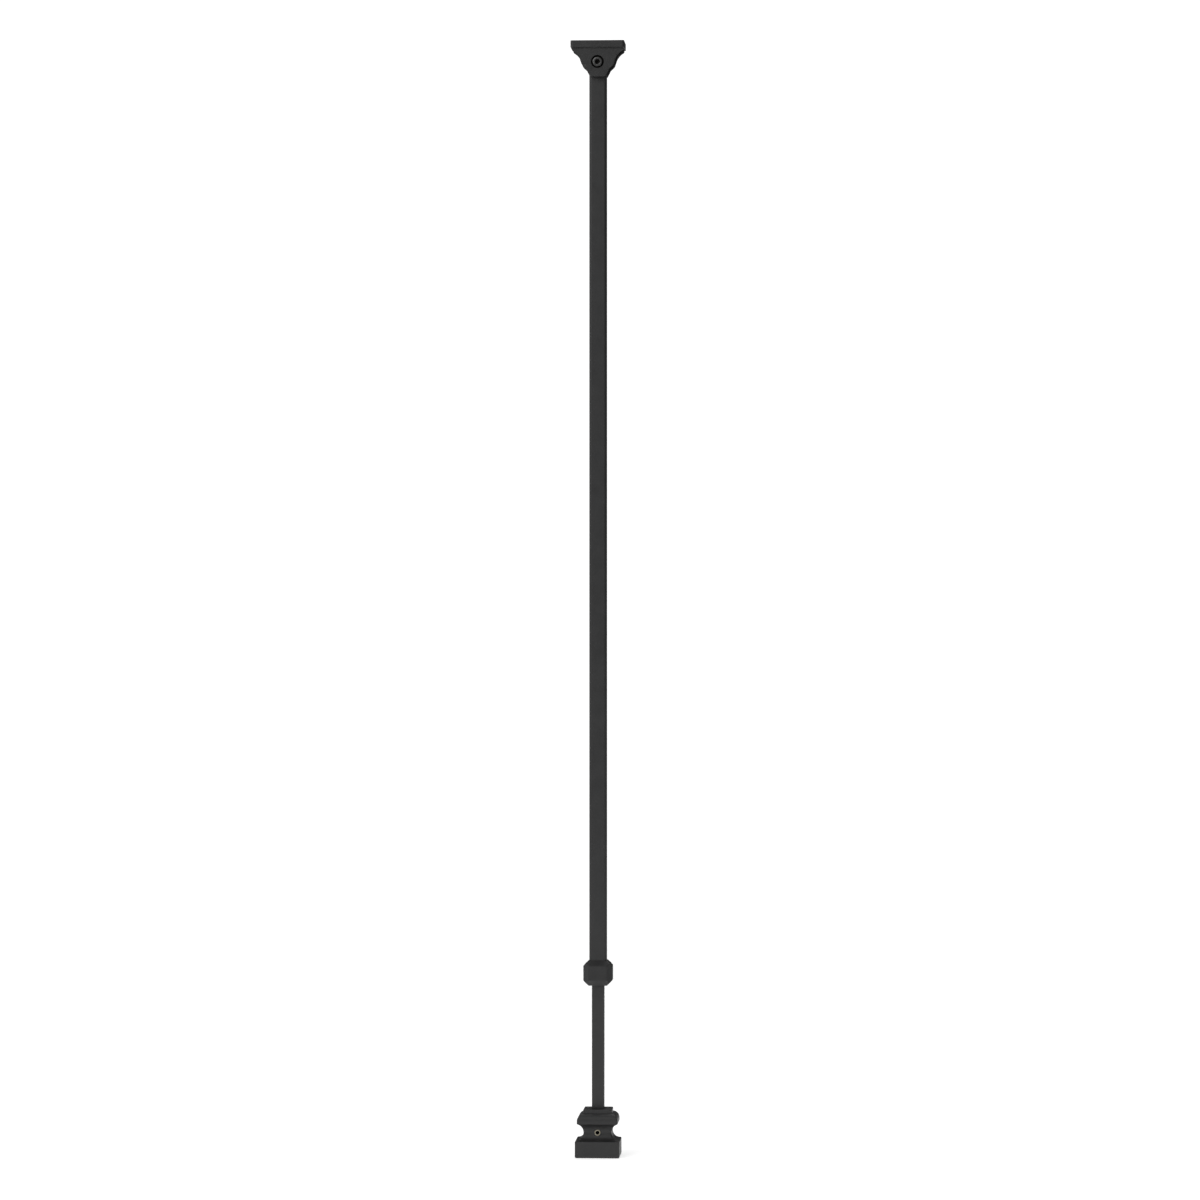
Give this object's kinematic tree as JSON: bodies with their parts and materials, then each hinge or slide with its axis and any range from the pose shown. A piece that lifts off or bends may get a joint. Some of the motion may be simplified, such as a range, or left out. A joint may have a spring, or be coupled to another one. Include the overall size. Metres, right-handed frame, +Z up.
{
  "type": "telescopic stair baluster bar",
  "caption": "Telescopic square bar between a pivoting top shoe and an ogee base shoe, each held by a socket screw; a chamfered knuckle covers the sliding joint.",
  "frame": {"origin": "centre of the base shoe's underside", "axes": "+Z up the bar towards the top shoe; the front, with both visible socket screws, faces -Y; the rail flange is widest along X and the top shoe swings about Y"},
  "size_m": [0.0398, 0.033, 0.825],
  "materials": {
    "cast_black": "satin",
    "bar_black": "satin",
    "screw_zinc": "satin",
    "screw_black": "satin",
    "steel": "brushed",
    "nylon": "matte"
  },
  "bodies": {
    "base": {"base_shoe": "cast_black", "lower_rod": "bar_black", "rod_glide": "nylon"},
    "base_screw": {"base_set_screw": "screw_zinc"},
    "upper": {"upper_tube": "bar_black", "knuckle": "cast_black", "knuckle_bush": "nylon", "tube_end_plug": "steel"},
    "knuckle_screw": {"knuckle_set_screw": "screw_black"},
    "top": {"top_shoe": "cast_black", "pivot_sleeve": "steel", "friction_washers": "nylon", "pivot_nut": "steel"},
    "pivot_bolt": {"pivot_screw": "screw_black"}
  },
  "joints": [
    {"name": "height_slide", "type": "slide", "parent": "base", "child": "upper", "axis": [0, 0, 1], "range_m": [-0.09, 0.1]},
    {"name": "rail_pivot", "type": "hinge", "parent": "upper", "child": "top", "pos_m": [0, 0, 0.8094], "axis": [0, 1, 0], "range_deg": [-45, 45]},
    {"name": "base_screw_out", "type": "slide", "parent": "base", "child": "base_screw", "axis": [0, -1, 0], "range_m": [0, 0.003]},
    {"name": "knuckle_screw_out", "type": "slide", "parent": "upper", "child": "knuckle_screw", "axis": [0, 1, 0], "range_m": [0, 0.003]},
    {"name": "pivot_screw_out", "type": "slide", "parent": "top", "child": "pivot_bolt", "axis": [0, -1, 0], "range_m": [0, 0.003]}
  ]
}
